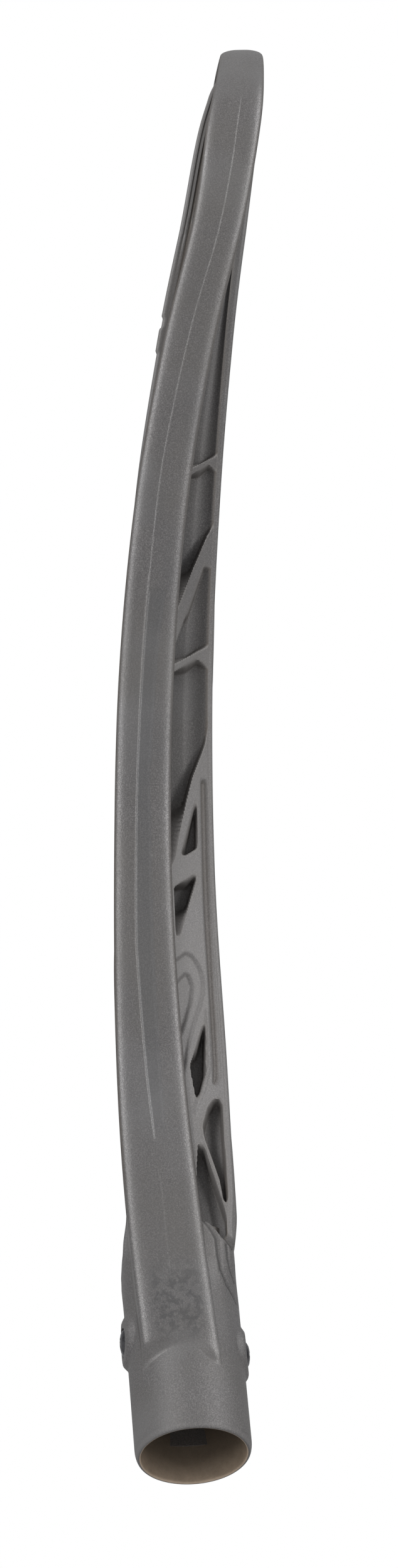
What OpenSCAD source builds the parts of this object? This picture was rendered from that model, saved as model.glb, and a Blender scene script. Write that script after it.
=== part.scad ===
// Goalkeeper's lacrosse head: a one-piece nylon moulding held on its shaft by two screws.
// The origin is the centre of the socket's mouth. +Z runs up the socket towards the scoop,
// +Y faces the side the ball enters by, and the pocket hangs on the -Y side.
// The side wall has an H-shaped section: an outer band and an inner wall joined by a web.
// The channel in front of the web is stiffened by a truss, the one behind it hides the string holes.

/* [Socket] */
// Outside diameter of the socket tube
socket_od = 32.5; // [31:0.5:34]
// Round lead-in diameter at the mouth
lead_in_d = 29.4; // [28.8:0.1:30]
// Length of the round lead-in
lead_in_h = 20; // [16:1:22]
// Across flats of the eight-sided shaft seat
seat_af = 26.2; // [25.8:0.1:26.6]
// Depth of the shaft seat from the mouth
seat_depth = 60; // [56:1:62]
// Height at which the round tube starts to turn into the square throat
tube_h = 45; // [43:1:48]
// Height of the throat's top face
throat_top = 67; // [66:1:69]

/* [Side wall] */
// Thickness of the outer band
band_t = 2.4; // [2:0.2:3]
// Thickness of the inner wall and of the string rail behind it
wall_t = 2.2; // [1.8:0.2:2.6]
// Thickness of the web between band and inner wall
web_t = 2.2; // [1.8:0.2:2.6]
// Depth of the bead that ends the inner wall at the front
rim_h = 4; // [3:0.5:5]
// Drop from the band's front edge to the truss
truss_drop = 1.6; // [1:0.2:2.4]

/* [Lacing] */
// Diameter of the string holes in the side walls
side_hole_d = 4; // [3.4:0.2:4.2]
// Diameter of the string holes in the scoop
scoop_hole_d = 4.6; // [4:0.2:5.2]

/* [Screws] */
// Height of the front screw above the mouth
front_screw_z = 31.5; // [30:0.5:34]
// Height of the back screw above the mouth
back_screw_z = 37; // [35:0.5:39]
// Diameter of the screw head
head_d = 8.3; // [7.8:0.1:8.6]
// Diameter of the screw shank
shank_d = 4.2; // [3.8:0.1:4.4]
// Length of the screw under its head
screw_len = 9.5; // [8:0.5:12.5]

/* [Hidden] */
$fn = 64;

nylon = [0.42, 0.41, 0.40];
steel = [0.72, 0.73, 0.75];
embed = 0.4;                 // how far ribs run into the walls they join
step = 0.25;                 // spacing of the wall sections, in stations
scoop_start = 9;             // station where the side wall ends and the scoop begins
wall_start = 0.9;            // station where the inner wall leaves the throat
band_foot = 26;              // height at which the band leaves the tube
head_h = 1.9;
seat_y = socket_od / 2 - 0.15;
boss_face = socket_od / 2 + 1.05;
run_gap = 0.05;              // clearance round the screws

// Stations up the right-hand wall, from the socket to the middle of the scoop:
// [x, z] of the band's outer face, y of its back edge, y of its front edge,
// y of the rim, depth of the inner wall behind the band's face, y of the string rail's edge
STATIONS = [
    [16.6, band_foot, -13, 8.5, 15, 2.5,  -9],
    [18,    70, -14.5,  6.5, 16.5,  3.5, -11],
    [24,   118, -14.5,  5,   18,    6.5, -11.5],
    [41,   175, -12,    5,   18.5, 10,    -9.5],
    [66,   227,  -8,    8.5, 21,   12.5,  -6.5],
    [94,   272,  -1,   15,   25.5, 13,    -1],
    [119,  311,   9,   24.5, 31,   13,     7.5],
    [139.5, 345, 20,   35.5, 37,   12,    16.5],
    [149.5, 376, 26,   42.5, 42,   11,    23],
    [148,  400,  31,   45.5, 45,   10,    28],
    [134,  425,  34.5, 47.5, 46.5,  9,    33.5],
    [95,   452,  36,   48.5, 47,    8.5,  35.5],
    [50,   464,  35.5, 48.5, 47,    8,    31.5],
    [0,    468,  34,   48,   46.5,  8,    29]];
LAST = len(STATIONS) - 1;

// Station i of the whole loop; past the scoop's middle it is the mirror image
function flip_x(s) = [for (i = [0:6]) i == 0 ? -s[i] : s[i]];
function loop_at(i) = i < 0 ? 2 * STATIONS[0] - STATIONS[1]
                    : i > LAST ? flip_x(STATIONS[2 * LAST - i]) : STATIONS[i];
// Smooth curve through the stations (Catmull-Rom)
function spline(a, b, c, d, t) =
    0.5 * (2 * b + (c - a) * t + (2 * a - 5 * b + 4 * c - d) * t * t + (3 * b - a - 3 * c + d) * t * t * t);
function wall_at(u) = let (i = floor(u + 1e-6))
    spline(loop_at(i - 1), loop_at(i), loop_at(i + 1), loop_at(i + 2), u - i);
function outward(u) = let (d = wall_at(u + 0.01) - wall_at(u - 0.01)) [d[1], -d[0]] / norm([d[0], d[1]]);
// Point at station u, w behind the band's face, at height y
function place(u, w, y) = let (s = wall_at(u), n = outward(u)) [s[0] - n[0] * w, y, s[1] - n[1] * w];
function web_y(s) = s[2] + 0.52 * (s[3] - s[2]);
function mix(a, b, t) = a + (b - a) * t;

// End cap of a loft whose ring starts at point o. A ring that is a strip, there along
// its top and back along its foot, is closed by pairs of triangles.
function flat_cap(o, n) = [[for (i = [0:n - 1]) o + i]];
function strip_cap(o, n) = [for (c = [0:n / 2 - 2])
    each [[o + c, o + c + 1, o + n - 2 - c], [o + c, o + n - 2 - c, o + n - 1 - c]]];
function turned(faces) = [for (f = faces) [for (i = [len(f) - 1:-1:0]) f[i]]];

// Solid through a list of rings with the same number of points
module loft(rings, strips = false) {
    n = len(rings[0]);
    last = (len(rings) - 1) * n;
    polyhedron(
        points = [for (r = rings) each r],
        faces = concat(
            turned(strips ? strip_cap(0, n) : flat_cap(0, n)),
            strips ? strip_cap(last, n) : flat_cap(last, n),
            [for (j = [0:n:last - n], i = [0:n - 1]) let (k = (i + 1) % n)
                each [[j + i, j + k, j + n + i], [j + k, j + n + k, j + n + i]]]));
}

// Sections of the wall at station s, as [depth, y] pairs
function band_section(s) = let (c = 1.1)
    [[c, s[2]], [0, s[2] + c], [0, s[3] - c], [c, s[3]], [band_t, s[3]], [band_t, s[2]]];
function web_section(s) = let (y = web_y(s))
    [[band_t, y - web_t / 2], [band_t, y + web_t / 2], [s[5], y + web_t / 2], [s[5], y - web_t / 2]];
function wall_section(s) = let (y = web_y(s) - web_t / 2)
    [[s[5], y], [s[5], s[4] - rim_h], [s[5] + wall_t, s[4] - rim_h], [s[5] + wall_t, y]];
function rim_section(s) = let (a = s[5] - 0.8, b = s[5] + wall_t + 0.8, c = 1.1)
    [[a, s[4] - rim_h], [a, s[4] - c], [a + c, s[4]], [b - c, s[4]], [b, s[4] - c], [b, s[4] - rim_h]];
function rail_section(s) = let (y = web_y(s) - web_t / 2)
    [[s[5], s[6]], [s[5], y], [s[5] + wall_t, y], [s[5] + wall_t, s[6]]];

function section(kind, s) = kind == "band" ? band_section(s) : kind == "web" ? web_section(s)
    : kind == "wall" ? wall_section(s) : kind == "rim" ? rim_section(s) : rail_section(s);

module sweep(kind, from, to) {
    n = round((to - from) / step);
    color(nylon) loft([for (j = [0:n]) let (u = mix(from, to, j / n))
        [for (p = section(kind, wall_at(u))) place(u, p[0], p[1])]]);
}

// ---- truss between the band's front edge (k = 0) and the rim (k = 1) ----
function truss_depth(s, k) = mix(band_t - embed, s[5] + embed, k);
function truss_face(u, k) = let (s = wall_at(u))
    place(u, truss_depth(s, k), mix(s[3] - truss_drop, s[4] - 3, k));
function truss_foot(u, k) = let (s = wall_at(u))
    place(u, truss_depth(s, k), web_y(s) + web_t / 2 - embed);

// Rib whose lower and upper edges run through stations low[i] and high[i] at k[i]
module rib(k, low, high) {
    cols = max(1, ceil((high[0] - low[0]) / step));
    n = len(k);
    stations = [for (i = [0:n - 1]) [for (c = [0:cols]) mix(low[i], high[i], c / cols)]];
    loft([for (i = [0:n - 1]) concat(
        [for (u = stations[i]) truss_face(u, k[i])],
        [for (c = [cols:-1:0]) truss_foot(stations[i][c], k[i])])], strips = true);
}

// Three struts across the upper part of the channel: k, low edge and high edge of each
STRUTS = [
    [[0, 0.8, 1], [5.10, 5.23, 5.20], [5.18, 5.28, 5.32]],
    [[0, 0.5, 1], [4.10, 4.40, 4.70], [4.25, 4.59, 4.86]],
    [[0, 0.8, 1], [3.98, 4.10, 4.08], [4.05, 4.16, 4.19]]];

// Ribs of the plate over the lower part of the channel. They stand a hair apart
// round five windows and a slot beside the rim.
PLATE_RIBS = [
    [[0, 0.2, 0.42],             [2.86, 2.89, 2.92],             [2.95, 3.06, 3.26]],
    [[0.43, 0.6, 0.81, 1],       [3.08, 3.20, 3.36, 3.47],       [3.28, 3.39, 3.53, 3.62]],
    [[0.43, 0.73],               [2.92, 2.97],                   [3.06, 3.12]],
    [[0.74, 0.88],               [1.93, 1.93],                   [3.29, 3.38]],
    [[0, 0.2, 0.33, 0.53, 0.73], [1.88, 1.92, 1.96, 2.08, 2.20], [2.62, 2.64, 2.70, 2.82, 2.95]],
    [[0, 0.17, 0.30, 0.42],      [1.0, 1.13, 1.30, 1.46],        [1.87, 1.90, 1.93, 1.80]],
    [[0.43, 0.52, 0.75, 1],      [1.46, 1.42, 1.23, 1.03],       [1.51, 1.55, 1.35, 1.10]],
    [[0.43, 0.52, 0.66, 1],      [1.53, 1.57, 1.65, 1.77],       [1.79, 1.86, 1.92, 1.90]]];

module ribs(list) color(nylon) for (r = list) rib(r[0], r[1], r[2]);

// ---- string holes ----
// Hole through the string rail at station u, square to the wall
module string_hole(u, d) {
    s = wall_at(u);
    n = outward(u);
    mid = s[5] + wall_t / 2;
    y = (s[6] + web_y(s) - web_t / 2) / 2;
    translate([s[0] - n[0] * mid, y, s[1] - n[1] * mid])
        rotate([0, 90 - atan2(n[1], n[0]), 0])
            cylinder(h = 3 * wall_t, d = d, center = true);
}

module side_string_rail() color(nylon) difference() {
    sweep("rail", wall_start, scoop_start);
    for (i = [0:13]) string_hole(1.6 + 0.5 * i, side_hole_d);
}

module scoop_string_rail() color(nylon) difference() {
    sweep("rail", scoop_start, 2 * LAST - scoop_start);
    for (i = [0:10]) string_hole(LAST + 0.68 * (i - 5), scoop_hole_d);
}

// ---- throat ----
module screw_hole(z, side) {
    translate([0, 0, z]) rotate([-90 * side, 0, 0]) {
        cylinder(h = socket_od, d = shank_d + 2 * run_gap);
        translate([0, 0, seat_y]) cylinder(h = 10, d = head_d + 0.5);
    }
}

module screw_boss(z, side) {
    translate([0, 0, z]) rotate([-90 * side, 0, 0]) {
        cylinder(h = boss_face - 0.6, d = 13.8);
        cylinder(h = boss_face, d = 12.6);
    }
}

module octagon_seat(from, to) {
    translate([0, 0, from]) rotate([0, 0, 22.5])
        cylinder(h = to - from, d = seat_af / cos(22.5), $fn = 8);
}

module shaft_socket() color(nylon) difference() {
    union() {
        rotate_extrude() polygon([[0, 0.8], [lead_in_d / 2, 0], [socket_od / 2 - 0.8, 0],
            [socket_od / 2, 0.8], [socket_od / 2, tube_h], [0, tube_h]]);
        screw_boss(front_screw_z, 1);
        screw_boss(back_screw_z, -1);
    }
    translate([0, 0, -1]) cylinder(h = lead_in_h + 1, d = lead_in_d);
    octagon_seat(lead_in_h - 1, tube_h + 1);
    screw_hole(front_screw_z, 1);
    screw_hole(back_screw_z, -1);
}

// Section of the throat at height z: round at the tube, squared where the walls leave it
function throat_ring(z) = let (t = (z - tube_h) / (throat_top - tube_h), e = t * t * (3 - 2 * t),
    hx = mix(socket_od / 2, 15.7, e), hy = mix(socket_od / 2, 16.15, e), p = mix(1, 0.5, e))
    [for (a = [0:7.5:352.5])
        [hx * sign(cos(a)) * pow(abs(cos(a)), p), 0.65 * e + hy * sign(sin(a)) * pow(abs(sin(a)), p), z]];

module throat_collar() color(nylon) difference() {
    loft([for (j = [0:6]) throat_ring(mix(tube_h, throat_top, j / 6))]);
    octagon_seat(tube_h - 1, throat_top + 1);
}

// Plate that closes the shaft seat and stops the ball
module ball_stop() color(nylon) octagon_seat(seat_depth, throat_top);

// Filling between the tube and the foot of the band
function cheek_ring(z) = let (s = wall_at((z - band_foot) / 44), x = mix(14.6, 15.6, (z - band_foot) / 41))
    [for (p = [[8, s[2]], [x, s[2]], [x, s[3]], [8, s[3]]]) [p[0], p[1], z]];

module throat_cheek() color(nylon) difference() {
    loft([for (z = [band_foot, 46, throat_top]) cheek_ring(z)]);
    cylinder(h = 2 * throat_top, r = socket_od / 2 - embed);
}

// ---- screws ----
// Pan-head screw with a cross recess, lying along +Z with its seat at z = 0
module pan_screw() color(steel) difference() {
    union() {
        rotate_extrude() polygon([[0, 0], [head_d / 2, 0], [head_d / 2, 0.7], [head_d / 2 - 0.5, 1.3],
            [head_d / 2 - 1.5, 1.75], [head_d / 2 - 2.6, head_h], [0, head_h]]);
        translate([0, 0, 1.5 - screw_len]) cylinder(h = screw_len - 1, d = shank_d);
        translate([0, 0, -screw_len]) cylinder(h = 1.6, d1 = 1.2, d2 = shank_d);
    }
    for (a = [0, 90]) rotate([0, 0, a]) translate([-2.2, -0.45, 0.8]) cube([4.4, 0.9, 3]);
}

module place_screw(z, side)
    translate([0, side * (seat_y + run_gap), z]) rotate([-90 * side, 0, 0]) pan_screw();

// ---- left and right ----
module left_hand() mirror([1, 0, 0]) children();

shaft_socket();
throat_collar();
ball_stop();
throat_cheek();  // throat_cheek_right
left_hand() throat_cheek();  // throat_cheek_left
sweep("band", 0, scoop_start);  // outer_band_right
left_hand() sweep("band", 0, scoop_start);  // outer_band_left
sweep("band", scoop_start, 2 * LAST - scoop_start);  // outer_band_scoop
sweep("web", wall_start, scoop_start);  // channel_web_right
left_hand() sweep("web", wall_start, scoop_start);  // channel_web_left
sweep("web", scoop_start, 2 * LAST - scoop_start);  // channel_web_scoop
sweep("wall", wall_start, scoop_start);  // inner_wall_right
left_hand() sweep("wall", wall_start, scoop_start);  // inner_wall_left
sweep("wall", scoop_start, 2 * LAST - scoop_start);  // inner_wall_scoop
sweep("rim", wall_start, scoop_start);  // front_rim_right
left_hand() sweep("rim", wall_start, scoop_start);  // front_rim_left
sweep("rim", scoop_start, 2 * LAST - scoop_start);  // front_rim_scoop
side_string_rail();  // string_rail_right
left_hand() side_string_rail();  // string_rail_left
scoop_string_rail();  // string_rail_scoop
ribs(STRUTS);  // upper_struts_right
left_hand() ribs(STRUTS);  // upper_struts_left
ribs(PLATE_RIBS);  // truss_plate_right
left_hand() ribs(PLATE_RIBS);  // truss_plate_left
place_screw(front_screw_z, 1);  // screw_front
place_screw(back_screw_z, -1);  // screw_back
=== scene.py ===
"""Goalkeeper lacrosse head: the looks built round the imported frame."""
import math

import bmesh
import bpy
import numpy as np
from mathutils import Matrix, Vector


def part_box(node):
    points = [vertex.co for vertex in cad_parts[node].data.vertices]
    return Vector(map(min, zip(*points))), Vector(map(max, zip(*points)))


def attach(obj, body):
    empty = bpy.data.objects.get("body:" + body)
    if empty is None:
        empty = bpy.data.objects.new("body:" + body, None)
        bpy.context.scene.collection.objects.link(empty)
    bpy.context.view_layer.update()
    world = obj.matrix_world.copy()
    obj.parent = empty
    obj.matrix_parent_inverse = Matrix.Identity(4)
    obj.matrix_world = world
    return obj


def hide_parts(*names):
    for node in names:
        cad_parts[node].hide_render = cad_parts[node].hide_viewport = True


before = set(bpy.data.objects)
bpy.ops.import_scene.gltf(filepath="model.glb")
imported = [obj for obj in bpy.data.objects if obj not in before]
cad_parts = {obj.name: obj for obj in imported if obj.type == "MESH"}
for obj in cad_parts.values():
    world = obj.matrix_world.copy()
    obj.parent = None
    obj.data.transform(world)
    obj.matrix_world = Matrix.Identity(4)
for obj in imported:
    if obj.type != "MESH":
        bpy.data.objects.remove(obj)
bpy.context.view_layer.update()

MM = 0.001

# ---------------------------------------------------------------- the wall's shape
# Stations up the right-hand wall, from the socket to the middle of the scoop:
# x and z of the band's outer face, y of its back and front edges, y of the rim,
# depth of the inner wall behind the band's face, y of the string rail's edge
STATIONS = np.array([
    [16.6, 26, -13, 8.5, 15, 2.5, -9],
    [18, 70, -14.5, 6.5, 16.5, 3.5, -11],
    [24, 118, -14.5, 5, 18, 6.5, -11.5],
    [41, 175, -12, 5, 18.5, 10, -9.5],
    [66, 227, -8, 8.5, 21, 12.5, -6.5],
    [94, 272, -1, 15, 25.5, 13, -1],
    [119, 311, 9, 24.5, 31, 13, 7.5],
    [139.5, 345, 20, 35.5, 37, 12, 16.5],
    [149.5, 376, 26, 42.5, 42, 11, 23],
    [148, 400, 31, 45.5, 45, 10, 28],
    [134, 425, 34.5, 47.5, 46.5, 9, 33.5],
    [95, 452, 36, 48.5, 47, 8.5, 35.5],
    [50, 464, 35.5, 48.5, 47, 8, 31.5],
    [0, 468, 34, 48, 46.5, 8, 29]])
LAST = len(STATIONS) - 1
BAND_T, WALL_T, WEB_T = 2.4, 2.2, 2.2
TUBE_R = 16.25
BORE_R = 14.7
WALL_MID_R = 15.4


def loop_station(i):
    if i < 0:
        return STATIONS[0] + i * (STATIONS[1] - STATIONS[0])
    if i > LAST:
        return STATIONS[2 * LAST - i] * [-1, 1, 1, 1, 1, 1, 1]
    return STATIONS[i]


PADDED = np.array([loop_station(i) for i in range(-3, LAST + 8)])


def wall_at(u):
    """Catmull-Rom through the stations."""
    u = np.asarray(u, float)
    i = np.floor(u + 1e-9).astype(int)
    t = (u - i)[..., None]
    a, b, c, d = (PADDED[i + 3 + j] for j in (-1, 0, 1, 2))
    return 0.5 * (2 * b + (c - a) * t + (2 * a - 5 * b + 4 * c - d) * t ** 2
                  + (3 * b - a - 3 * c + d) * t ** 3)


def outward(u):
    d = wall_at(u + 0.01) - wall_at(u - 0.01)
    n = np.stack([d[..., 1], -d[..., 0]], -1)
    return n / np.linalg.norm(n, axis=-1, keepdims=True)


def place(u, w, y):
    """Points at stations u, w behind the band's face, at height y."""
    s, n = wall_at(u), outward(u)
    x, z = s[..., 0] - n[..., 0] * w, s[..., 1] - n[..., 1] * w
    return np.stack(np.broadcast_arrays(x, y, z), -1)


def mix(a, b, t):
    return a + (b - a) * t


def smooth(x, lo=0.0, hi=1.0):
    t = np.clip((x - lo) / (hi - lo), 0, 1)
    return t * t * (3 - 2 * t)


def soft_max(a, b, k):
    h = np.clip(0.5 + 0.5 * (a - b) / k, 0, 1)
    return mix(b, a, h) + k * h * (1 - h)


def web_y(s):
    return s[..., 2] + 0.52 * (s[..., 3] - s[..., 2])


def rows(*parts):
    """Stations spaced evenly along the wall: (from, to, step in mm)."""
    out = []
    for a, b, step in parts:
        fine = np.linspace(a, b, 500)
        p = wall_at(fine)[:, :2]
        run = np.r_[0, np.cumsum(np.hypot(*np.diff(p, axis=0).T))]
        n = max(2, round(run[-1] / step))
        out.append(np.interp(np.linspace(0, run[-1], n + 1), run, fine)[:-1])
    return np.r_[np.concatenate(out), parts[-1][1]]


def run_length(u):
    """Distance along the band's face from station 0, in mm."""
    fine = np.linspace(-1, LAST, 3000)
    p = wall_at(fine)[:, :2]
    run = np.r_[0, np.cumsum(np.hypot(*np.diff(p, axis=0).T))]
    return np.interp(u, fine, run) - np.interp(0, fine, run)


# ---------------------------------------------------------------- meshes
def finish_mesh(name, mesh, body, material, nodes, sharp=38):
    mesh.set_sharp_from_angle(angle=math.radians(sharp))
    obj = bpy.data.objects.new(name, mesh)
    bpy.context.scene.collection.objects.link(obj)
    mesh.materials.append(material)
    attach(obj, body)
    if nodes:
        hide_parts(*nodes)
    return obj


def ring_mesh(name, grid, values=None):
    """Closed mesh from rings of points (mm); values are named numbers per point."""
    n, m = grid.shape[:2]
    index = np.arange(n * m).reshape(n, m)
    a, b = index[:-1], index[1:]
    quads = np.stack([a, np.roll(a, -1, 1), np.roll(b, -1, 1), b], -1).reshape(-1, 4)
    p = grid.reshape(-1, 3)
    q = p[quads]
    volume = np.einsum("ij,ij->i", q[:, 0], np.cross(q[:, 1], q[:, 2])).sum() \
        + np.einsum("ij,ij->i", q[:, 0], np.cross(q[:, 2], q[:, 3])).sum()
    faces = quads.tolist() + [index[0][::-1].tolist(), index[-1].tolist()]
    if volume < 0:
        faces = [f[::-1] for f in faces]
    mesh = bpy.data.meshes.new(name)
    mesh.from_pydata((p * MM).tolist(), [], faces)
    for key, v in (values or {}).items():
        layer = mesh.attributes.new(key, "FLOAT", "POINT")
        layer.data.foreach_set("value", v.reshape(-1).astype("f4"))
    mesh.polygons.foreach_set("use_smooth", np.ones(len(faces), bool))
    return mesh


SPRUNG_LOW, SPRUNG_HIGH = 2.6, 2.2


def left_hand(points):
    """Mirror image of points on the right. The left wall has sprung a little: it stands
    further forward low down and further back near the scoop."""
    out = points * [-1, 1, 1]
    x, z = out[..., 0], out[..., 2]
    out[..., 1] += SPRUNG_LOW * smooth(z, 62, 88) * (1 - smooth(z, 225, 290))
    out[..., 1] -= SPRUNG_HIGH * smooth(z, 290, 365) * smooth(-x, 20, 100)
    return out


def both_sides(grid):
    """Adds the left half, past the middle of the scoop."""
    return np.concatenate([grid, left_hand(grid)[-2::-1]])


def both_values(values):
    return {k: np.concatenate([v, v[-2::-1]]) for k, v in values.items()}


# ---------------------------------------------------------------- outer band
EDGE_A, EDGE_B = 5.4, 1.9       # rounding of the band's long edges, across and deep
# The parting line's place across the band, from its back edge (0) to its front (1)
PARTING = [(-0.3, 0.47), (0.24, 0.47), (1.1, 0.5), (1.5, 0.465), (2.2, 0.395), (2.6, 0.35),
           (3.4, 0.38), (4.0, 0.41), (4.6, 0.42), (5.2, 0.41), (5.8, 0.45), (6.3, 0.49),
           (6.7, 0.54), (7.6, 0.57), (13, 0.52)]
# Front edge of the shallow strip beside it
STRIP = [(1.4, 0.62), (3.16, 0.62), (3.45, 0.585), (3.8, 0.63), (4.2, 0.66), (4.5, 0.74)]
STRIP_DEPTH, STRIP_GAP, RIDGE_HEIGHT, RIDGE_HALF = 0.16, 0.22, 0.09, 0.17
SWELL = 0.22                    # how far the band's face crowns between its edges
FOOT_Z = 27.4                   # where the band's face turns down into the tube


def table(points, u):
    x, y = zip(*points)
    return np.interp(u, x, y)


def band_grid():
    u = rows((-0.33, 0.3, 0.5), (0.3, 4.35, 0.8), (4.35, 4.65, 0.3), (4.65, 8, 1.2),
             (8, LAST, 1.6))[:, None]
    s = wall_at(u[:, 0])
    y0, y1, z = s[:, 2:3], s[:, 3:4], s[:, 1:2]
    width = y1 - y0
    part = table(PARTING, u)
    half = RIDGE_HALF / width
    strip = np.maximum(table(STRIP, u), part + 4 * half)
    gap = STRIP_GAP / width
    ease = 1 - np.cos(np.linspace(0, 1, 16) * math.pi / 2)
    back = ease * (part - 2 * half)
    ridge = part + np.array([-1, -0.5, 0, 0.5, 1]) * half
    middle = mix(part + 2 * half, strip - gap, np.linspace(0, 1, 7))
    front = mix(strip + gap, 1, 1 - ease[::-1])
    v = np.concatenate([back, ridge, middle, front], 1)
    from_edge = np.minimum(v, 1 - v) * width
    q = np.clip((EDGE_A - from_edge) / EDGE_A, 0, 1)
    w = EDGE_B * (1 - np.sqrt(1 - q * q))
    # parting ridge, with its breaks
    up = np.zeros(v.shape)
    up[:, 17:20] = [0.7, 1, 0.7]
    shown = smooth(u, 0.0, 0.03) * (1 - smooth(u, 8.2, 8.6)) * mix(0.45, 1, smooth(u, 1.3, 1.5))
    shown = shown * (1 - smooth(u, 0.22, 0.26) * (1 - smooth(u, 0.46, 0.5)))
    shown = shown * (1 - smooth(u, 1.28, 1.31) * (1 - smooth(u, 1.46, 1.49)))
    w = w - RIDGE_HEIGHT * up * shown
    # shallow strip in front of the line, and a fainter one behind it
    inside = smooth(u, 1.45, 1.62) * (1 - smooth(u, 4.455, 4.475))
    columns = np.zeros(v.shape)
    columns[:, 21:28] = 1
    w = w + STRIP_DEPTH * inside * columns
    faint = smooth(u, 3.6, 4.2) * (1 - smooth(u, 4.555, 4.575))
    faint = faint * (v > 0.2) * (v < part - 1.5 * half)
    w = w + 0.1 * faint
    # long soft swell of the face between the rounded edges
    w = w + SWELL * np.where(q > 0, (1 - 2 * EDGE_A / width) ** 2, (2 * v - 1) ** 2)
    y = mix(y0, y1, v)
    # the foot slopes down into the tube
    drop = np.maximum(FOOT_Z + 1.5 - 5 * smooth(v, 0.62, 0.95) - z, 0)
    drop = np.where(drop < 3, drop ** 2 / 6, drop - 1.5) * 1.05
    # inner face, which lies in the tube's wall up to the throat's top
    corner = np.array([0.0, 0.15, 0.5])
    across = mix(y1 - 0.5, y0 + 0.5, np.linspace(0, 1, 14)[1:-1])
    iy = np.concatenate([y1 - corner, across, y0 + corner[::-1]], 1)
    to_tube = s[:, :1] - np.sqrt(np.maximum(WALL_MID_R ** 2 - iy ** 2, 9))
    thick = mix(BAND_T, np.maximum(to_tube, BAND_T), smooth(68 - z, 0, 5))
    trim = np.concatenate([[0.55, 0.15], np.zeros(14), [0.15, 0.55]])
    w = np.concatenate([w + drop, thick - trim], 1)
    grid = place(u, w, np.concatenate([y, iy], 1))
    tube = np.sqrt(np.maximum(TUBE_R ** 2 - grid[..., 1] ** 2, 1)) - 0.06
    blend = soft_max(grid[..., 0], tube, 1.6)
    faces = v.shape[1]
    keep = smooth(grid[..., 2], 30, 44)
    grid[:, :faces, 0] = mix(blend, grid[..., 0], keep)[:, :faces]
    face_z = grid[:, :faces, 2]
    painted_warm_shade, scuff, blue, polish, pale = (np.zeros(w.shape) for _ in range(5))
    scuff[:, :faces] = smooth(face_z, 25, 34) * (1 - smooth(face_z, 44, 56)) \
        * smooth(v, 0.12, 0.3) * (1 - smooth(v, 0.75, 0.95))
    # painted shade: brown along the band's back and front edges high up, and over its inner face, for
    # light glowing through the nylon
    painted_warm_shade[:, :faces] = (0.35 * smooth(v, 0.92, 1.0) + 0.7 * smooth(0.045 - v, 0, 0.045)) * smooth(z, 60, 90)
    painted_warm_shade[:, faces:] = 0.35
    blue[:, 20:29] = smooth(u, 1.4, 1.8) * (1 - smooth(u, 4.4, 4.5))
    polish[:, :faces] = smooth(z + 4 * smooth(v, 0.6, 0.9), 21, 26)
    # painted highlight: a paler band across the foot where the face turns down into the tube
    pale[:, :faces] = 0.45 * smooth(face_z, 19, 22) * (1 - smooth(face_z, 25.5, 28.5))
    return grid, {"painted_warm_shade": painted_warm_shade, "scuff": scuff, "cool": blue, "polish": polish, "edge": pale}


# ---------------------------------------------------------------- truss wall
K_RIM = 1.13                    # where the truss's face meets the rim, on the scale of STRUTS
K_COLUMNS = 46
FLOOR_SHARE = 0.3               # share of the columns that lie on the pocket floor
POCKET_EXTRA, POCKET_FILLET, POCKET_BULGE = 1.8, 0.45, 1.2
RIM_R, RIM_DROP = 1.25, 0.8     # rounding of the rim, and how far it sinks at the throat
SEAT_CLEAR_R = 14.2             # the wall's lower end stays outside this radius

# Outlines in (station, k): k is 0 at the band's front edge and 1 near the rim.
# STRUTS and PLATE are solid, WINDOWS are holes in them, the rest is relief on the plate
STRUTS = [
    [(5.10, -0.05), (5.23, 0.8), (5.20, 1.2), (5.32, 1.2), (5.28, 0.8), (5.18, -0.05)],
    [(4.02, -0.05), (4.36, 0.5), (4.62, 0.9), (4.62, 1.2), (4.90, 1.2), (4.80, 0.9), (4.60, 0.5),
     (4.27, -0.05)],
    [(3.98, -0.05), (4.10, 0.8), (4.06, 1.2), (4.20, 1.2), (4.16, 0.8), (4.05, -0.05)]]
PLATE = [(0.2, -0.05), (2.95, -0.05), (3.05, 0.19), (3.14, 0.27), (3.25, 0.39), (3.37, 0.53),
         (3.49, 0.69), (3.57, 0.85), (3.66, 1.03), (3.80, 1.2), (0.2, 1.3)]
WINDOWS = [
    [(3.35, 0.80), (3.07, 0.43), (3.12, 0.78)],
    [(2.97, 0.75), (2.89, 0.22), (2.68, 0.21), (2.65, 0.22)],
    [(2.21, 0.74), (1.93, 0.65), (1.77, 0.42), (1.96, 0.33)],
    [(1.76, 0.85), (1.77, 0.98), (1.74, 1.05), (1.48, 1.06), (1.22, 1.10), (1.08, 1.12),
     (1.06, 1.07), (1.08, 0.99), (1.22, 0.91), (1.37, 0.73), (1.51, 0.56), (1.59, 0.53),
     (1.71, 0.70)],
    [(1.46, 0.36), (1.44, 0.48), (1.32, 0.60), (1.16, 0.78), (1.00, 0.97), (0.92, 1.10),
     (0.8, 1.18), (0.3, 1.25), (0.3, -0.05), (0.99, 0.2), (1.15, 0.20), (1.28, 0.25)]]
GROOVE = [(3.47, 0.955), (3.11, 0.95), (2.73, 0.93), (2.50, 0.93), (1.98, 0.90), (1.86, 0.86),
          (1.87, 0.94), (1.91, 1.03), (1.97, 1.04), (2.36, 1.06), (2.51, 1.07), (2.73, 1.09),
          (3.28, 1.10), (3.47, 1.09)]
LEAF_OUT = [(2.57, 0.40), (2.56, 0.55), (2.53, 0.66), (2.48, 0.76), (2.43, 0.79), (2.37, 0.76),
            (2.29, 0.64), (2.22, 0.50), (2.12, 0.35), (2.05, 0.26), (1.96, 0.16), (1.80, -0.05),
            (2.4, -0.05), (2.52, 0.1)]
LEAF_IN = [(2.47, 0.38), (2.46, 0.47), (2.41, 0.54), (2.32, 0.46), (2.24, 0.32), (2.16, 0.18),
           (2.08, -0.05), (2.34, -0.05), (2.43, 0.2)]
# A plain raised rib on the plate
RIB_STRIP = [(2.30, 0.86), (1.98, 0.83), (1.83, 0.66), (1.66, 0.33), (1.70, 0.30), (1.86, 0.56),
             (1.99, 0.74), (2.28, 0.79)]


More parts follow.
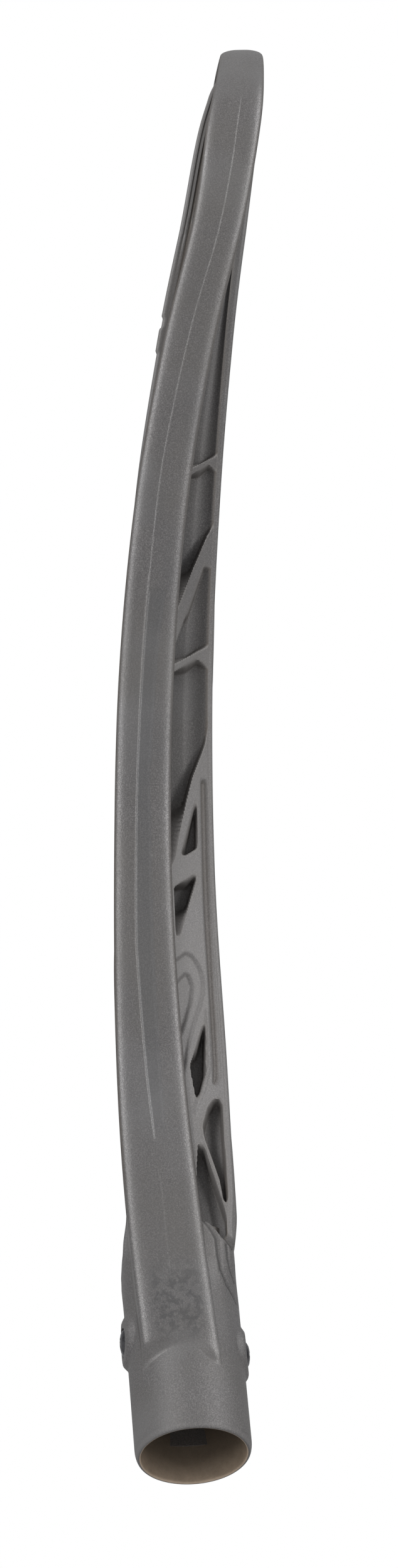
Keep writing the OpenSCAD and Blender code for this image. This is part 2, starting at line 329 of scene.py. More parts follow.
def inside_distance(px, py, outline):
    """Signed distance to a closed outline, positive inside."""
    q = np.array(outline, float)
    d = np.full(px.shape, 1e9)
    odd = np.zeros(px.shape, bool)
    for (ax, ay), (bx, by) in zip(q, np.roll(q, -1, 0)):
        ex, ey = bx - ax, by - ay
        t = np.clip(((px - ax) * ex + (py - ay) * ey) / (ex * ex + ey * ey), 0, 1)
        d = np.minimum(d, np.hypot(px - ax - t * ex, py - ay - t * ey))
        cross = (ay > py) != (by > py)
        at = ax + (py - ay) * ex / (ey if ey else 1e-9)
        odd ^= cross & (px < at)
    return np.where(odd, d, -d)


def blur(a, times):
    for _ in range(times):
        a = np.concatenate([a[:1], a, a[-1:]])
        a = 0.25 * a[:-2] + 0.5 * a[1:-1] + 0.25 * a[2:]
        a = np.concatenate([a[:, :1], a, a[:, -1:]], 1)
        a = 0.25 * a[:, :-2] + 0.5 * a[:, 1:-1] + 0.25 * a[:, 2:]
    return a


def truss_mask(u, k, length):
    """1 on the truss and 0 in its pockets, and the relief cut into its face in mm."""
    px, py = run_length(u) * np.ones_like(k), k * length

    def distance(outline):
        ends = np.array(outline)
        fine = [mix(p, q, t) for p, q in zip(ends, np.roll(ends, -1, 0))
                for t in np.arange(0, 1, 0.1 / max(0.1, abs(q[0] - p[0])))]
        us, ks = np.array(fine).T
        s = wall_at(us)
        return inside_distance(px, py, np.stack([run_length(us), ks * truss_length(s)], 1))

    d = np.maximum.reduce([distance(o) for o in STRUTS + [PLATE]])
    for o in WINDOWS:
        d = np.minimum(d, -distance(o))
    mask = smooth(blur(smooth(d, -0.5, 0.5), 3), 0.12, 0.88)
    groove = smooth(blur(smooth(distance(GROOVE), -0.35, 0.35), 2), 0.1, 0.9)
    relief = 0.9 * groove
    relief = relief + 0.7 * smooth(distance(LEAF_OUT), -0.3, 0.3)
    relief += 0.75 * smooth(distance(LEAF_IN), -0.3, 0.3)
    relief -= 0.35 * smooth(distance(RIB_STRIP), -0.35, 0.35)
    return mask, blur(relief, 1), d, groove


def truss_ends(s):
    a = np.stack([np.full(s.shape[:-1], BAND_T - 0.3), s[..., 3] - 1.6], -1)
    b = np.stack([BAND_T + K_RIM * (s[..., 5] - 0.8 - BAND_T),
                  mix(s[..., 3] - 1.6, s[..., 4] - 3, K_RIM)], -1)
    return a, b


def truss_length(s):
    a, b = truss_ends(s)
    return np.hypot(*(b - a).T).T / K_RIM


# Height at which the shoulder ends, by angle from +X towards the front
RIDGE = [(14, 71), (24, 67.8), (31, 65.2), (39, 61.6), (50, 59.3), (58, 57.5), (71, 56.8)]


def ridge_height(fold):
    return np.interp(fold, *zip(*RIDGE))


def fold_angle(x, y):
    """Degrees from +X towards the front, alike on both sides."""
    return np.degrees(np.arctan2(y, np.abs(x)))


def collar_radius(angle, z):
    """Outside of the throat: a circle low down, a rounded square at its top."""
    e = smooth(z, 44, 66)
    hx, hy, n = mix(TUBE_R, 15.8, e), mix(TUBE_R, 16.1, e), mix(2.0, 4.6, e)
    return ((np.abs(np.cos(angle)) / hx) ** n + (np.abs(np.sin(angle)) / hy) ** n) ** (-1 / n)


def arc(cx, cy, rx, ry, start, stop, n):
    t = np.radians(np.linspace(start, stop, n))
    return [(cx + rx * math.cos(v), cy + ry * math.sin(v)) for v in t]


def truss_grid():
    u = rows((0.45, 5.5, 0.4), (5.5, 6.2, 0.8), (6.2, LAST, 1.6))
    s = wall_at(u)
    a, b = truss_ends(s)
    t = np.linspace(0, 1, K_COLUMNS)
    k = t * K_RIM * np.ones((len(u), 1))
    length = truss_length(s)[:, None]
    mask, relief, d, groove = truss_mask(u[:, None], k, length)
    mask = mask * (1 - smooth(u, 5.45, 5.6))[:, None]
    face = mix(a[:, None], b[:, None], t[:, None])
    inward = np.stack([b[:, 1] - a[:, 1], a[:, 0] - b[:, 0]], -1)
    inward /= np.linalg.norm(inward, axis=1, keepdims=True)
    face = face + inward[:, None] * relief[..., None]
    # pocket: its floor, the fillet, and the inner wall's outer face up to the rim
    floor_y = (web_y(s) + WEB_T / 2)[:, None]
    extra = POCKET_EXTRA * smooth(u, 0.6, 1.0) * (1 - smooth(u, 2.3, 3.0))
    deep = (s[:, 5] + extra)[:, None]
    f = np.clip(t / FLOOR_SHARE, 0, 1)
    g = np.clip((t - FLOOR_SHARE) / (1 - FLOOR_SHARE), 0, 1)
    pw = mix(a[:, :1], deep, f)
    py = mix(floor_y, mix(a[:, 1:], b[:, 1:], t), smooth(g, -0.05, 0.2))
    corner = np.exp(-((t - FLOOR_SHARE) / 0.05) ** 2)
    pw = pw - POCKET_FILLET * corner + POCKET_BULGE * np.sin(math.pi * g)
    py = py + POCKET_FILLET * corner
    pw = mix(pw, b[:, :1], smooth(g, 0.86, 1))
    pocket = np.stack([pw, py], -1)
    line = mix(pocket, face, mask[..., None])
    # rim, inner wall and the back of the web
    top, inner = s[:, 4], s[:, 5] + WALL_T + extra
    back = web_y(s) - WEB_T / 2
    drop = RIM_DROP * smooth(1.15 - u, 0, 0.3)
    top = top - drop
    r = RIM_R
    rim = [(b[:, 0] + 0.12 * i, mix(b[:, 1] - drop, top - r, i / 2)) for i in (1, 2)]
    for x, y in arc(0, 0, 1, 1, 165, 90, 5):
        rim.append((b[:, 0] + 0.25 + r + r * x, top - r + r * y))
    lip = np.maximum(s[:, 5] + WALL_T + 0.8, b[:, 0] + 0.25 + 2 * r)
    for x, y in arc(0, 0, 1, 1, 90, 0, 5):
        rim.append((lip - r + r * x, top - r + r * y))
    rim += [(lip, top - 2.9), (lip - 0.15, top - 3.4), (mix(inner, lip, 0.35), top - 3.8),
            (inner, top - 4.4)]
    rim += [(inner, mix(top - 4.4, back, i / 6)) for i in range(1, 6)]
    foot = s[:, 5] - 1.4
    rim += [(inner, back - 0.3), (inner - 0.3, back - 0.6), (s[:, 5] + 0.1, back - 0.6),
            (s[:, 5] - 0.9, back - 0.1), (foot, back), (mix(a[:, 0], foot, 0.5), back), (a[:, 0], back)]
    rim = np.stack([np.stack(np.broadcast_arrays(x, y), -1) for x, y in rim], 1)
    line[:, -6:, 1] -= drop[:, None] * np.linspace(0.1, 1, 6)
    ring = np.concatenate([line, rim], 1)
    grid = place(u[:, None], ring[..., 0], ring[..., 1])
    # the lower end dives into the collar, and stays out of the shaft's seat
    x, y, z = np.moveaxis(grid, -1, 0)
    r = np.hypot(x, y)
    least = SEAT_CLEAR_R * (1 - smooth(z, 60, 63))
    fold = fold_angle(x, y)
    above = z - ridge_height(fold)
    beside_band = 5.5 * smooth(above, 0.9, 2.4) - 1.9 * smooth(above, -0.4, 0.5)
    step = mix(beside_band, 4.8 * smooth(above, -0.4, 2.2), smooth(fold, 36, 44))
    most = collar_radius(np.arctan2(y, x), z) - 1.2 + step + 200 * smooth(above, 1.7, 6)
    grid[..., :2] *= (np.clip(r, least, np.maximum(most, least)) / r)[..., None]
    painted_warm_shade, painted_pocket_shade, bevel = (np.zeros(ring.shape[:2]) for _ in range(3))
    truss = (1 - smooth(u, 5.45, 5.6))[:, None]
    low = (1 - smooth(u, 3.6, 5.0))[:, None]
    edge = np.exp(-(d / 0.9) ** 2) * truss
    rim_side = 0.6 * smooth(t, 0.9, 0.98) * (1 - mask)
    # painted shade: brown along the struts' and windows' outlines, in the groove and on the pockets' rim
    # side
    painted_warm_shade[:, :K_COLUMNS] = np.clip(0.45 * edge + 0.45 * groove + rim_side, 0, 1)
    painted_warm_shade[:, K_COLUMNS:K_COLUMNS + 2] = 0.15
    # painted shade in the pockets, fading towards the rim and fainter further up the wall
    shade = mix(0.3, 0.1, smooth(u, 3.0, 3.4))[:, None]
    painted_pocket_shade[:, :K_COLUMNS] = (1 - mask) * (1 - smooth(t, 0.9, 1)) * shade
    # painted highlight along the outlines of the struts and windows; the truss's faces low down and its
    # rim are painted paler too
    outline_highlight = np.exp(-((d - 0.35) / 0.45) ** 2) * truss
    bevel[:, :K_COLUMNS] = np.maximum(outline_highlight, 0.65 * mask * low * (1 - groove))
    bevel[:, K_COLUMNS:K_COLUMNS + 7] = 0.5 * low
    return grid, {"painted_warm_shade": painted_warm_shade, "deep": painted_pocket_shade, "edge": bevel}


# ---------------------------------------------------------------- string rail
RAIL_R, RAIL_GROOVE, RAIL_STEP = 0.85, 0.4, 0.5
SIDE_HOLES, SCOOP_HOLES = 14, 11
SIDE_HOLE_R, SCOOP_HOLE_R, HOLE_DEPTH = 2.0, 2.3, 9


def rail_grid():
    u = rows((0.85, 5.4, 1.2), (5.4, 6.5, 0.5), (6.5, LAST, 1.5))
    s = wall_at(u)
    lo, hi = s[:, 6], web_y(s)
    tab = smooth(6.2 - u, 0, 0.02) * (1 - smooth(6.03 - u, 0, 0.02))
    lift = RAIL_STEP * smooth(6.28 - u, 0, 0.02) * (1 - tab)
    lo = lo + lift
    out, inn = s[:, 5], s[:, 5] + WALL_T - 0.12
    r = RAIL_R
    groove = RAIL_GROOVE * smooth(u, 6.5, 7.5)
    ring = [(out, hi), (out, mix(lo, hi, 0.6)), (out, lo + 3.3), (out + groove, lo + 3.0),
            (out + groove, lo + 2.7), (out, lo + 2.4), (out, lo + 1.9), (out + groove, lo + 1.7),
            (out + groove, lo + 1.4), (out, lo + 1.2), (out, lo + r)]
    ring += [(out + r + r * x, lo + r + r * y) for x, y in arc(0, 0, 1, 1, 205, 270, 4)]
    ring += [(inn - r + r * x, lo + r + r * y) for x, y in arc(0, 0, 1, 1, 270, 335, 4)]
    ring += [(inn, lo + r), (inn, lo + 2.2), (inn, mix(lo, hi, 0.6)), (inn, hi)]
    ring = np.stack([np.stack(p, -1) for p in ring], 1)
    grid = place(u[:, None], ring[..., 0], ring[..., 1])
    painted_warm_shade = np.zeros(ring.shape[:2])
    # painted shade: brown strips down the rail's outer face
    painted_warm_shade[:, 1:11] = [0.8, 0.7, 0.9, 0.9, 0.4, 0.0, 0.5, 0.5, 0.1, 0.1]
    # painted highlight: paler strips along the rail's grooves and rounded lower edge, up in the scoop
    pale = np.zeros(ring.shape[:2])
    pale[:, 3:18] = 0.9
    return grid, {"painted_warm_shade": painted_warm_shade, "edge": pale * (painted_warm_shade < 0.6) * smooth(u, 5, 6)[:, None]}


def hole_tool(name, points, normals, radius, depth, sides=28):
    """One mesh of many short cylinders, for cutting holes."""
    bm = bmesh.new()
    for p, n in zip(points, normals):
        turn = Vector(n).to_track_quat("Z", "Y").to_matrix().to_4x4()
        bmesh.ops.create_cone(bm, cap_ends=True, segments=sides, radius1=radius * MM,
                              radius2=radius * MM, depth=depth * MM,
                              matrix=Matrix.Translation(Vector(p) * MM) @ turn)
    mesh = bpy.data.meshes.new(name)
    bm.to_mesh(mesh)
    bm.free()
    return bpy.data.objects.new(name, mesh)


def cut(obj, tool, use_self=False):
    bpy.context.scene.collection.objects.link(tool)
    mod = obj.modifiers.new("cut", "BOOLEAN")
    mod.operation, mod.solver, mod.object = "DIFFERENCE", "EXACT", tool
    mod.use_self = use_self
    dg = bpy.context.evaluated_depsgraph_get()
    new = bpy.data.meshes.new_from_object(obj.evaluated_get(dg))
    obj.modifiers.clear()
    obj.data = new
    bpy.data.objects.remove(tool)
    return new


def rail_holes():
    side = 1.6 + 0.5 * np.arange(SIDE_HOLES)
    scoop = LAST + 0.68 * (np.arange(SCOOP_HOLES) - SCOOP_HOLES // 2)
    tools = []
    for us, r in ((side, SIDE_HOLE_R), (scoop, SCOOP_HOLE_R)):
        s, n = wall_at(us), outward(us)
        mid = s[:, 5] + WALL_T / 2
        y = (s[:, 6] + web_y(s) - WEB_T / 2) / 2
        p = np.stack([s[:, 0] - n[:, 0] * mid, y, s[:, 1] - n[:, 1] * mid], 1)
        nn = np.stack([n[:, 0], 0 * y, n[:, 1]], 1)
        if r == SIDE_HOLE_R:
            p = np.concatenate([p, left_hand(p)])
            nn = np.concatenate([nn, nn * [-1, 1, 1]])
        tools.append((p, nn, r))
    return tools


# ---------------------------------------------------------------- throat
THROAT_TOP = 66.6
SCREWS = [("screw_front", 1, 31.5), ("screw_back", -1, 37.0)]
SEAT_AF = 26.2                  # across the flats of the shaft's eight-sided seat
RECESS_R, HOLE_R = 4.4, 2.15    # round each screw's head, and round its shank
LIP_R, LIP_H = 1.05, 3.4        # rounding of the mouth's outer edge, across and along
DEGREE = 0.29                   # one degree round the throat, in mm
BOSS_R = 17.35                  # from the socket's axis to the flat of a screw's boss


def boss_radius(angle, z, r):
    for _, side, z0 in SCREWS:
        cross, along = r * np.cos(angle), np.sin(angle) * side
        rho = np.hypot(cross, z - z0)
        flat = (BOSS_R - 0.13 * np.clip(cross, 0, 8)) / np.maximum(along, 0.3)
        on = (1 - smooth(rho, 5.9, 8.6)) * (along > 0.3)
        r = mix(r, np.maximum(r, flat), on)
    return r


def line_distance(px, py, path):
    d = np.full(px.shape, 1e9)
    for (ax, ay), (bx, by) in zip(path, path[1:]):
        ex, ey = bx - ax, by - ay
        t = np.clip(((px - ax) * ex + (py - ay) * ey) / (ex * ex + ey * ey), 0, 1)
        d = np.minimum(d, np.hypot(px - ax - t * ex, py - ay - t * ey))
    return d


# Steps across the shoulder, as (degrees from +X towards the front, height)
SHOULDER_RECESS, CREASE_DEPTH, CREASE_WIDTH, TONGUE_H = 2.8, 0.45, 0.5, 12
SHOULDER_LINES = [
    [(24, 67.2), (31, 63.2), (34, 60.7), (35, 55.5), (38, 51.5), (48, 47.8), (59, 46.2), (69, 44.5)],
    [(44, 59.6), (46, 55.4), (51, 52.5), (62, 50)]]


def throat_grid():
    quarter = np.r_[-90:16:1.5, 16:74:0.7, 74:89.5:1.5]
    angle = np.radians(np.r_[quarter, 180 - quarter[::-1]])
    fold = fold_angle(np.cos(angle), np.sin(angle))[None]
    # rows of points that follow the shoulder's end, so that it stays a clean line
    ridge = ridge_height(fold)
    turn_at = np.clip(ridge, 40, 65.6)
    tongue = TONGUE_H * smooth(-fold, 48, 62) * (1 - smooth(-fold, 76, 88))
    top = THROAT_TOP + tongue
    z = np.concatenate([top, top - 0.3, mix(top - 0.6, turn_at + 0.7, np.linspace(0, 1, 22)[:, None]),
                        turn_at + np.array([0.5, 0.3, 0.1, -0.1])[:, None],
                        mix(turn_at - 0.3, 1.2, np.linspace(0, 1, 150)[:, None]),
                        np.array([1.0, 0.7, 0.45, 0.25, 0.1, 0.0])[:, None] * np.ones(len(angle))])
    r = collar_radius(angle, z)
    r = r - 1.8 * smooth(z, 65, 79)
    r = r - 0.5 * smooth(z, 46, 56) * np.exp(-((fold - 90) / 30) ** 2)
    r = boss_radius(angle, z, r)
    # end of the shoulder under the lowest pocket, and of the wall behind the band
    r = r - SHOULDER_RECESS * smooth(z - ridge, -0.2, 0.7) * (fold > 14) * (1 - smooth(fold, 56, 68))
    behind = smooth(-fold, 38, 44) * (1 - smooth(-fold, 70, 78))
    r = r - 3.0 * smooth(z, 58, 68) * behind - 0.7 * smooth(z, 60, 66.6) * smooth(-fold, 62, 76)
    crease = 0 * z
    for path in SHOULDER_LINES:
        d = line_distance(fold * DEGREE, z, [(f * DEGREE, h) for f, h in path])
        r = r - CREASE_DEPTH * np.exp(-(d / CREASE_WIDTH) ** 2)
        crease = np.maximum(crease, np.exp(-(d / 0.3) ** 2))
    r = r - LIP_R * (1 - np.sqrt(np.clip(1 - np.clip(1 - z / LIP_H, 0, 1) ** 2, 0, 1)))
    # inside: round lead-in that turns into the eight-sided seat
    z_in = np.r_[0.0, 0.08, 0.3, 0.6, 1.0, np.arange(2, 30, 0.8), np.arange(30, 61, 4)]
    zi = z_in[:, None] * np.ones(len(angle))
    eighth = np.mod(angle + math.pi / 8, math.pi / 4) - math.pi / 8
    octagon = np.minimum(SEAT_AF / 2 / np.cos(eighth), SEAT_AF / 2 + 0.85)
    ri = mix(BORE_R, octagon[None], smooth(zi, 24, 27))
    ri = ri + 0.45 * (1 - np.sqrt(np.clip(1 - np.clip(1 - zi / 0.6, 0, 1) ** 2, 0, 1)))
    rr = np.concatenate([r[:1] * 0.5, r, ri, ri[-1:] * 0.5])
    zz = np.concatenate([0 * z[:1] + THROAT_TOP, z, zi, zi[-1:]])
    grid = np.stack([rr * np.cos(angle), rr * np.sin(angle), zz], -1)
    painted_warm_shade = np.zeros(rr.shape)
    inside = np.zeros(rr.shape)
    inside[len(z) + 2:] = 1
    # painted shade: brown just above the shoulder's end, and round the mouth's edge
    painted_warm_shade[1:len(z) + 1] = 0.6 * smooth(z - ridge, 0.0, 0.8) * (fold > 14) * (fold < 60)
    painted_warm_shade[len(z):len(z) + 3] = 0.3
    # painted highlight: a pale ring round the mouth's lip
    pale = np.zeros(rr.shape)
    pale[1:len(z) + 1] = 0.5 * smooth(z, 0.05, 0.3) * (1 - smooth(z, 0.7, 2.2))
    # painted shade along the shoulder's creases
    painted_crease_shade = np.zeros(rr.shape)
    painted_crease_shade[1:len(z) + 1] = 0.7 * crease
    return grid, {"painted_warm_shade": painted_warm_shade, "inside": inside, "edge": pale, "deep": painted_crease_shade}


# ---------------------------------------------------------------- materials
class Shade:
    """Small helper for building node materials."""

    def __init__(self, name):
        self.mat = bpy.data.materials.new(name)
        self.mat.use_nodes = True
        self.tree = self.mat.node_tree
        self.bsdf = self.tree.nodes["Principled BSDF"]
        coords = self.tree.nodes.new("ShaderNodeTexCoord")
        self.where = coords.outputs["Object"]

    def link(self, a, b):
        self.tree.links.new(a, b)

    def noise(self, scale, detail=2.0, rough=0.5, stretch=None):
        n = self.tree.nodes.new("ShaderNodeTexNoise")
        n.inputs["Scale"].default_value = scale
        n.inputs["Detail"].default_value = detail
        n.inputs["Roughness"].default_value = rough
        src = self.where
        if stretch:
            m = self.tree.nodes.new("ShaderNodeMapping")
            m.inputs["Scale"].default_value = stretch
            self.link(src, m.inputs["Vector"])
            src = m.outputs["Vector"]
        self.link(src, n.inputs["Vector"])
        return n.outputs["Fac"]

    def voronoi(self, scale):
        n = self.tree.nodes.new("ShaderNodeTexVoronoi")
        n.inputs["Scale"].default_value = scale
        self.link(self.where, n.inputs["Vector"])
        return n

    def ramp(self, src, stops):
        n = self.tree.nodes.new("ShaderNodeValToRGB")
        while len(n.color_ramp.elements) < len(stops):
            n.color_ramp.elements.new(0.5)
        for el, (p, c) in zip(n.color_ramp.elements, stops):
            el.position = p
            el.color = (c, c, c, 1) if isinstance(c, (int, float)) else (*c, 1)
        self.link(src, n.inputs["Fac"])
        return n.outputs["Color"]

    def blend(self, fac, a, b):
        n = self.tree.nodes.new("ShaderNodeMix")
        n.data_type = "RGBA"
        for i, v in ((0, fac), (6, a), (7, b)):
            if hasattr(v, "links"):
                self.link(v, n.inputs[i])
            elif i:
                n.inputs[i].default_value = (*v, 1) if hasattr(v, "__len__") else (v, v, v, 1)
            else:
                n.inputs[i].default_value = v
        return n.outputs[2]

    def maths(self, op, a, b=0.0, clamp=False):
        n = self.tree.nodes.new("ShaderNodeMath")
        n.operation, n.use_clamp = op, clamp
        for i, v in enumerate((a, b)):
            if hasattr(v, "links"):
                self.link(v, n.inputs[i])
            else:
                n.inputs[i].default_value = v
        return n.outputs[0]

    def value(self, name):
        n = self.tree.nodes.new("ShaderNodeAttribute")
        n.attribute_type, n.attribute_name = "GEOMETRY", name
        return n.outputs["Fac"]

    def tint(self, base, name, amount, colour):
        return self.blend(self.maths("MULTIPLY", self.value(name), amount), base, colour)

    def bump(self, *layers):
        """layers: (height, distance in m, strength)"""
        last = None
        for height, distance, strength in layers:
            n = self.tree.nodes.new("ShaderNodeBump")
            n.inputs["Strength"].default_value = strength
            n.inputs["Distance"].default_value = distance
            self.link(height, n.inputs["Height"])
            if last:
                self.link(last, n.inputs["Normal"])
            last = n.outputs["Normal"]
        self.link(last, self.bsdf.inputs["Normal"])

    def set(self, **values):
        for key, v in values.items():
            socket = self.bsdf.inputs[key.replace("_", " ")]
            if hasattr(v, "links"):
                self.link(v, socket)
            else:
                socket.default_value = v


def nylon_material():
    m = Shade("grey_nylon")
    grain = m.noise(2600, 2.0, 0.6)
    fleck = m.noise(5200, 1.0, 0.5)
    cloud = m.noise(38, 3.0, 0.6)
    streak = m.noise(60, 2.0, 0.5, stretch=(1, 1, 0.12))
    base = m.ramp(grain, [(0.30, (0.100, 0.096, 0.096)), (0.5, (0.142, 0.136, 0.136)),
                          (0.72, (0.232, 0.222, 0.221))])
    base = m.blend(m.ramp(cloud, [(0.35, 0.0), (0.7, 0.5)]), base, (0.135, 0.128, 0.118))
    base = m.blend(m.ramp(streak, [(0.4, 0.0), (0.7, 0.25)]), base, (0.100, 0.100, 0.106))
    base = m.tint(base, "cool", 0.35, (0.088, 0.092, 0.098))
    patch = m.ramp(m.noise(24, 2.0, 0.5), [(0.52, 0.0), (0.68, 0.5)])
    base = m.blend(patch, base, (0.19, 0.189, 0.192))
    mottle = m.ramp(m.noise(420, 4.0, 0.65), [(0.44, 0.0), (0.56, 1.0)])
    scuffed = m.maths("MULTIPLY", m.maths("MULTIPLY", m.value("scuff"), mottle), 0.55)
    base = m.blend(scuffed, base, (0.062, 0.062, 0.064))
    # painted shade: brown tint in shaded fillets, edges and inner faces, standing in for light glowing
    # through the translucent nylon
    base = m.tint(base, "painted_warm_shade", 0.75, (0.098, 0.079, 0.062))
    # painted shade: darkens the truss's pockets and the throat's creases
    base = m.tint(base, "deep", 0.92, (0.031, 0.030, 0.030))
    # painted highlight: paler colour on the band's foot, the mouth's lip, the struts' edges and the rail's
    # lower edge; it also pales the truss's faces low down
    base = m.tint(base, "edge", 0.4, (0.30, 0.29, 0.285))
    spots = m.voronoi(90)
    pale = m.ramp(spots.outputs["Distance"], [(0.0, 1.0), (0.05, 0.0)])
    base = m.blend(m.maths("MULTIPLY", pale, 0.35), base, (0.3, 0.3, 0.29))
    # painted light and shade in the bore: a pale brown glow near the mouth, where light comes through the
    # nylon, darkening to painted shade deeper in, with a random mottle
    depth = m.tree.nodes.new("ShaderNodeSeparateXYZ")
    m.link(m.where, depth.inputs[0])
    painted_bore_light = m.ramp(m.maths("MULTIPLY", depth.outputs["Z"], 40.0, clamp=True),
                 [(0.0, (0.52, 0.41, 0.31)), (0.35, (0.25, 0.20, 0.15)), (0.8, (0.10, 0.075, 0.057))])
    painted_bore_light = m.blend(m.ramp(m.noise(300, 4.0, 0.7), [(0.4, 0.0), (0.75, 0.3)]), painted_bore_light, (0.12, 0.09, 0.07))
    base = m.blend(m.value("inside"), base, painted_bore_light)
    rough = m.ramp(grain, [(0.3, 0.39), (0.7, 0.29)])
    rough = m.blend(m.ramp(cloud, [(0.4, 0.0), (0.65, 0.4)]), rough, (0.44, 0.44, 0.44))
    rough = m.blend(m.value("polish"), (0.55, 0.55, 0.55), rough)
    rough = m.blend(m.value("deep"), rough, (0.85, 0.85, 0.85))
    m.set(Base_Color=base, Roughness=rough, Metallic=0.22)
    m.bsdf.inputs["Specular IOR Level"].default_value = 0.55
    m.bump((m.noise(1500, 3.0, 0.6), 0.00012, 0.5), (fleck, 0.00006, 0.5),
           (m.noise(140, 2.0, 0.5), 0.0003, 0.12))
    return m.mat


def steel_material():
    m = Shade("screw_steel")
    lines = m.noise(900, 3.0, 0.6, stretch=(1, 0.2, 1))
    grime = m.noise(260, 4.0, 0.6)
    base = m.blend(m.ramp(grime, [(0.45, 0.0), (0.62, 1.0)]), (0.14, 0.14, 0.15), (0.035, 0.035, 0.038))
    m.set(Base_Color=base, Metallic=1.0, Roughness=m.ramp(lines, [(0.3, 0.14), (0.7, 0.32)]))
    m.bump((lines, 0.00003, 0.4))
    return m.mat


# ---------------------------------------------------------------- screws
HEAD = [(1.5, 1.85), (2.6, 1.62), (3.4, 1.2), (3.95, 0.7), (4.15, 0.3), (4.15, 0.08), (4.05, 0)]
SCREW_LEN, SHANK_R, THREAD_PITCH, THREAD_DEPTH = 9.5, 2.1, 1.0, 0.42
HEAD_H = 1.9                    # from the seat to the top of the head


def screw_piece(name, side, z0):
    """Pan-head screw turned from its profile, with a rolled thread and a cross recess."""
    profile = HEAD + [(SHANK_R, -0.02)]
    y = -0.4
    while y > -SCREW_LEN + 2.2:
        root = SHANK_R - THREAD_DEPTH
        profile += [(root, y), (root, y - 0.3), (SHANK_R, y - 0.5), (SHANK_R, y - 0.6)]
        y -= THREAD_PITCH
    profile += [(SHANK_R - 0.5, y), (0.6, -SCREW_LEN + 0.1)]
    a = np.radians(np.arange(0, 360, 7.5))
    grid = np.array([[(r * math.cos(t), r * math.sin(t), h) for t in a] for r, h in profile])
    mesh = ring_mesh(name, grid)
    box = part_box(name)
    obj = bpy.data.objects.new(name + "_blank", mesh)
    bpy.context.scene.collection.objects.link(obj)
    # cross recess: a plus sign that narrows towards its floor
    plus = [(2.3, 0.48), (0.48, 0.48), (0.48, 2.3)]
    plus = [(x * i - y * j, x * j + y * i) for i, j in ((1, 0), (0, 1), (-1, 0), (0, -1)) for x, y in plus]
    cross = np.array([[(x * f, y * f, h) for x, y in plus] for h, f in ((0.75, 0.8), (3.5, 1.05))])
    tool_mesh = ring_mesh("cross", cross)
    mesh = cut(obj, bpy.data.objects.new("cross", tool_mesh))
    bpy.data.objects.remove(obj)
    seat = (box[0][1] if side < 0 else box[1][1]) - side * HEAD_H * MM
    turn = Matrix.Rotation(math.radians(-90 * side), 4, "X") @ Matrix.Rotation(math.radians(20), 4, "Z")
    mesh.transform(Matrix.Translation((0, seat, z0 * MM)) @ turn)
    return mesh


# ---------------------------------------------------------------- the pieces
nylon = nylon_material()
steel = steel_material()
SIDES = ("right", "left", "scoop")


def nodes(*kinds):
    return [f"{k}_{s}" for k in kinds for s in SIDES if f"{k}_{s}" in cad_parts]


def moulding(name, shape, replaced, sharp):
    grid, values = shape
    mesh = ring_mesh(name, both_sides(grid), both_values(values))
    return finish_mesh(name, mesh, "head", nylon, replaced, sharp)


moulding("outer_band", band_grid(), nodes("outer_band"), 50)
moulding("truss_wall", truss_grid(),
         nodes("channel_web", "inner_wall", "front_rim", "upper_struts", "truss_plate"), 50)
rail = moulding("string_rail", rail_grid(), nodes("string_rail"), 40)
for points, normals, radius in rail_holes():
    cut(rail, hole_tool("holes", points, normals, radius, HOLE_DEPTH), True)
rail.data.set_sharp_from_angle(angle=math.radians(40))
grid, values = throat_grid()
throat = finish_mesh("throat", ring_mesh("throat", grid, values), "head", nylon,
                     ["shaft_socket", "throat_collar", "ball_stop", "throat_cheek_right",
                      "throat_cheek_left"], 50)
for name, side, z0 in SCREWS:
    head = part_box(name)[1 if side > 0 else 0][1] / MM - side * HEAD_H
    cut(throat, hole_tool("recess", [(0, head + side * 5, z0)], [(0, side, 0)], RECESS_R, 10, 48))
    cut(throat, hole_tool("shank", [(0, head - side * 4, z0)], [(0, side, 0)], HOLE_R, 9, 32))
throat.data.set_sharp_from_angle(angle=math.radians(50))
for name, side, z0 in SCREWS:
    finish_mesh(name + "_detail", screw_piece(name, side, z0), name.split("_")[1] + "_screw",
                steel, [name], 30)

# ---------------------------------------------------------------- stage, light and camera
VIEW = Vector((0.862730, -0.075479, -0.5))      # from the frame's origin to the camera
DISTANCE = 1.2
RIGHT = Vector((0.04436, 0.99611, -0.07613))
UP = Vector((0.63082, 0.03116, 0.7753))
FORWARD = Vector((-0.77466, 0.08242, 0.62699))
SENSOR = 36
FOCAL = 2.747076 * SENSOR
ROOM_LIGHT = 0.40               # how brightly the white surroundings light the object
STRIP_HEIGHT = 2.1
AIM = Vector((0.03, 0, 0.24))
FLOOR_Z = -1.3


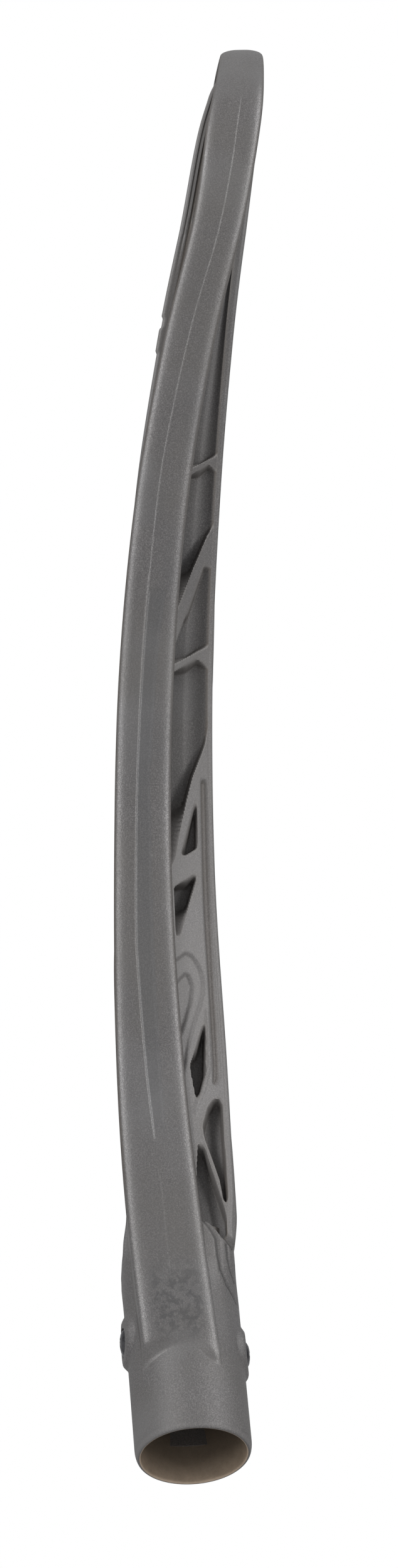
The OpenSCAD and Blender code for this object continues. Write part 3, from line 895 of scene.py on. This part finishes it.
def strip_light(name, place_at, width, watts):
    """Tall soft light that faces the middle of the head."""
    light = bpy.data.lights.new(name, "AREA")
    light.shape, light.size, light.size_y = "RECTANGLE", width, STRIP_HEIGHT
    light.energy = watts
    obj = bpy.data.objects.new(name, light)
    bpy.context.scene.collection.objects.link(obj)
    obj.location = place_at
    obj.rotation_mode = "QUATERNION"
    obj.rotation_quaternion = (Vector(place_at) - AIM).to_track_quat("Z", "Y")


def stage():
    floor = bpy.data.meshes.new("floor")
    bm = bmesh.new()
    bmesh.ops.create_grid(bm, x_segments=8, y_segments=8, size=4)
    bm.to_mesh(floor)
    bm.free()
    obj = bpy.data.objects.new("floor", floor)
    obj.location = (0, 0, FLOOR_Z)
    bpy.context.scene.collection.objects.link(obj)
    m = Shade("pale_floor")
    m.set(Base_Color=m.ramp(m.noise(3, 2.0), [(0.3, 0.86), (0.7, 0.9)]), Roughness=0.9)
    floor.materials.append(m.mat)
    world = bpy.data.worlds.new("studio")
    world.use_nodes = True
    tree = world.node_tree
    back = tree.nodes["Background"]
    back.inputs["Color"].default_value = (1, 1, 1, 1)
    ray = tree.nodes.new("ShaderNodeLightPath")
    level = tree.nodes.new("ShaderNodeMapRange")
    level.inputs["To Min"].default_value = ROOM_LIGHT
    level.inputs["To Max"].default_value = 1.0
    tree.links.new(ray.outputs["Is Camera Ray"], level.inputs["Value"])
    tree.links.new(level.outputs["Result"], back.inputs["Strength"])
    bpy.context.scene.world = world


def lights():
    strip_light("strip_left", (1.15, -1.0, 0.55), 0.35, 16)
    strip_light("strip_right", (1.0, 1.15, 0.55), 0.3, 15)


def camera():
    data = bpy.data.cameras.new("camera")
    data.sensor_width, data.lens = SENSOR, FOCAL
    obj = bpy.data.objects.new("camera", data)
    bpy.context.scene.collection.objects.link(obj)
    r, u, f = (v.normalized() for v in (RIGHT, UP, FORWARD))
    m = Matrix((r, u, -f)).transposed().to_4x4()
    m.translation = VIEW * DISTANCE
    obj.matrix_world = m
    bpy.context.scene.camera = obj


stage()
lights()
camera()
bpy.context.scene.view_settings.view_transform = "Standard"
